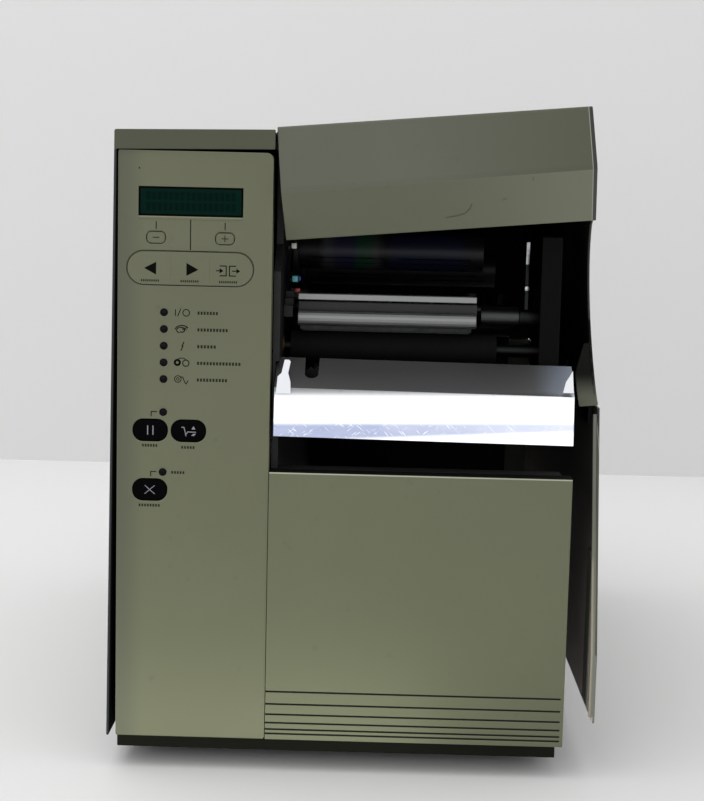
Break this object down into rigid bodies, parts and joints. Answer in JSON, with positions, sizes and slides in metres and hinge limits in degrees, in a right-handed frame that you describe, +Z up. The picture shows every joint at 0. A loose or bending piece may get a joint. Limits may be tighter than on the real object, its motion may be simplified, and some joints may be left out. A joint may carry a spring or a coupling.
{
  "type": "industrial thermal label printer",
  "caption": "Industrial thermal label printer for a table: metal casing with a full-height control panel, an ajar bi-fold media door, a polished label chute and a complete ribbon and platen mechanism.",
  "frame": {"origin": "on the surface the feet stand on, under the middle of the closed casing", "axes": "+X to the right seen from the front, +Y to the back, +Z up"},
  "size_m": [0.2986, 0.5272, 0.4074],
  "materials": {
    "putty_paint": "textured enamel",
    "dark_paint": "satin",
    "cast_alloy": "cast",
    "polished_steel": "polished",
    "bright_steel": "plated",
    "grey_steel": "satin",
    "dark_steel": "blackened",
    "black_plastic": "moulded",
    "black_rubber": "matt",
    "panel_plastic": "textured",
    "key_plastic": "satin",
    "tinted_pane": "gloss",
    "lens_plastic": "gloss",
    "board_green": "solder mask",
    "spindle_plastic": "moulded",
    "cable_plastic": "moulded",
    "bronze": "sintered"
  },
  "bodies": {
    "chassis": {"base_pan": "dark_paint", "rubber_feet": "black_rubber", "centre_frame": "cast_alloy", "bay_front_wall": "dark_paint", "rear_panel": "putty_paint", "electronics_cover": "putty_paint", "cover_screws": "bright_steel", "control_bezel": "panel_plastic", "display_window": "tinted_pane", "display_module": "black_plastic", "indicator_lenses": "lens_plastic", "control_board": "board_green", "front_panel": "panel_plastic", "label_chute": "polished_steel", "print_deck": "dark_paint", "outer_side_plate": "dark_paint", "tear_off_bar": "bright_steel", "shaft_bearings": "bronze", "stepper_motor": "black_plastic", "platen_belt": "black_rubber", "takeup_belt": "black_rubber", "fixed_shafts": "dark_steel", "head_cable": "cable_plastic", "media_hanger": "cast_alloy", "media_sensor": "black_plastic", "main_board": "board_green", "power_supply": "bright_steel", "power_inlet": "black_plastic", "data_ports": "bright_steel", "hinge_leaf": "bright_steel", "hinge_pin": "bright_steel", "door_catch": "black_plastic"},
    "door_upper": {"door_upper_leaf": "putty_paint", "door_nose": "panel_plastic", "fold_pin": "bright_steel"},
    "door_lower": {"door_lower_leaf": "putty_paint", "fold_hinge": "bright_steel"},
    "pause_button_body": {"pause_button": "key_plastic"},
    "feed_button_body": {"feed_button": "key_plastic"},
    "cancel_button_body": {"cancel_button": "key_plastic"},
    "minus_key_body": {"minus_key": "panel_plastic"},
    "plus_key_body": {"plus_key": "panel_plastic"},
    "previous_key_body": {"previous_key": "panel_plastic"},
    "next_key_body": {"next_key": "panel_plastic"},
    "setup_key_body": {"setup_key": "panel_plastic"},
    "platen": {"platen_roller": "black_rubber", "platen_shaft": "bright_steel", "platen_pulley": "black_plastic"},
    "motor_rotor": {"motor_pulley": "black_plastic"},
    "takeup": {"takeup_spindle": "spindle_plastic", "takeup_pulley": "black_plastic"},
    "supply": {"supply_spindle": "spindle_plastic"},
    "head": {"head_carrier": "dark_paint", "print_head": "cast_alloy", "head_cover": "grey_steel"},
    "lever": {"head_lever": "bright_steel"},
    "idler": {"ribbon_roller": "bright_steel"},
    "guide": {"media_guide": "black_plastic"},
    "dancer": {"dancer_arm": "bright_steel"},
    "rocker": {"power_switch": "black_plastic"}
  },
  "joints": [
    {"name": "door_hinge", "type": "hinge", "parent": "chassis", "child": "door_upper", "pos_m": [-0.041, 0, 0.3878], "axis": [0, -1, 0], "range_deg": [-5, 80]},
    {"name": "door_fold", "type": "hinge", "parent": "door_upper", "child": "door_lower", "pos_m": [0.15341, 0, 0.22633], "axis": [0, -1, 0], "range_deg": [-80, 5]},
    {"name": "pause_button_press", "type": "slide", "parent": "chassis", "child": "pause_button_body", "axis": [0, 1, 0], "range_m": [0, 0.0006], "stiffness_N_per_m": 2500, "springref_m": -0.0002},
    {"name": "feed_button_press", "type": "slide", "parent": "chassis", "child": "feed_button_body", "axis": [0, 1, 0], "range_m": [0, 0.0006], "stiffness_N_per_m": 2500, "springref_m": -0.0002},
    {"name": "cancel_button_press", "type": "slide", "parent": "chassis", "child": "cancel_button_body", "axis": [0, 1, 0], "range_m": [0, 0.0006], "stiffness_N_per_m": 2500, "springref_m": -0.0002},
    {"name": "minus_key_press", "type": "slide", "parent": "chassis", "child": "minus_key_body", "axis": [0, 1, 0], "range_m": [0, 0.0006], "stiffness_N_per_m": 2500, "springref_m": -0.0002},
    {"name": "plus_key_press", "type": "slide", "parent": "chassis", "child": "plus_key_body", "axis": [0, 1, 0], "range_m": [0, 0.0006], "stiffness_N_per_m": 2500, "springref_m": -0.0002},
    {"name": "previous_key_press", "type": "slide", "parent": "chassis", "child": "previous_key_body", "axis": [0, 1, 0], "range_m": [0, 0.0006], "stiffness_N_per_m": 2500, "springref_m": -0.0002},
    {"name": "next_key_press", "type": "slide", "parent": "chassis", "child": "next_key_body", "axis": [0, 1, 0], "range_m": [0, 0.0006], "stiffness_N_per_m": 2500, "springref_m": -0.0002},
    {"name": "setup_key_press", "type": "slide", "parent": "chassis", "child": "setup_key_body", "axis": [0, 1, 0], "range_m": [0, 0.0006], "stiffness_N_per_m": 2500, "springref_m": -0.0002},
    {"name": "head_lever_turn", "type": "hinge", "parent": "chassis", "child": "lever", "pos_m": [0.1, -0.198, 0.2785], "axis": [-1, 0, 0], "range_deg": [0, 70]},
    {"name": "head_lift", "type": "hinge", "parent": "chassis", "child": "head", "pos_m": [0, -0.13, 0.278], "axis": [-1, 0, 0], "range_deg": [0, 22]},
    {"name": "platen_spin", "type": "hinge", "parent": "chassis", "child": "platen", "pos_m": [0, -0.206, 0.258], "axis": [1, 0, 0], "continuous": true},
    {"name": "motor_spin", "type": "hinge", "parent": "chassis", "child": "motor_rotor", "pos_m": [-0.06, -0.182, 0.172], "axis": [1, 0, 0], "continuous": true},
    {"name": "takeup_spin", "type": "hinge", "parent": "chassis", "child": "takeup", "pos_m": [0, -0.14, 0.316], "axis": [1, 0, 0], "continuous": true},
    {"name": "supply_spin", "type": "hinge", "parent": "chassis", "child": "supply", "pos_m": [0, -0.024, 0.3], "axis": [1, 0, 0], "continuous": true},
    {"name": "idler_spin", "type": "hinge", "parent": "chassis", "child": "idler", "pos_m": [0, -0.078, 0.262], "axis": [1, 0, 0], "continuous": true},
    {"name": "media_guide_slide", "type": "slide", "parent": "chassis", "child": "guide", "axis": [1, 0, 0], "range_m": [-0.084, 0.0015]},
    {"name": "dancer_swing", "type": "hinge", "parent": "chassis", "child": "dancer", "pos_m": [0, 0.064, 0.236], "axis": [1, 0, 0], "range_deg": [-12, 14], "stiffness_Nm_per_rad": 0.8, "springref_deg": -14.32},
    {"name": "rocker_tilt", "type": "hinge", "parent": "chassis", "child": "rocker", "pos_m": [-0.1095, 0.2515, 0.106], "axis": [1, 0, 0], "range_deg": [-14, 0]}
  ],
  "couplings": [
    {"joint": "door_fold", "follows": "door_hinge", "ratio": -1},
    {"joint": "head_lift", "follows": "head_lever_turn", "ratio": 0.31429},
    {"joint": "motor_spin", "follows": "platen_spin", "ratio": 1.8571},
    {"joint": "takeup_spin", "follows": "platen_spin", "ratio": 0.53846}
  ]
}
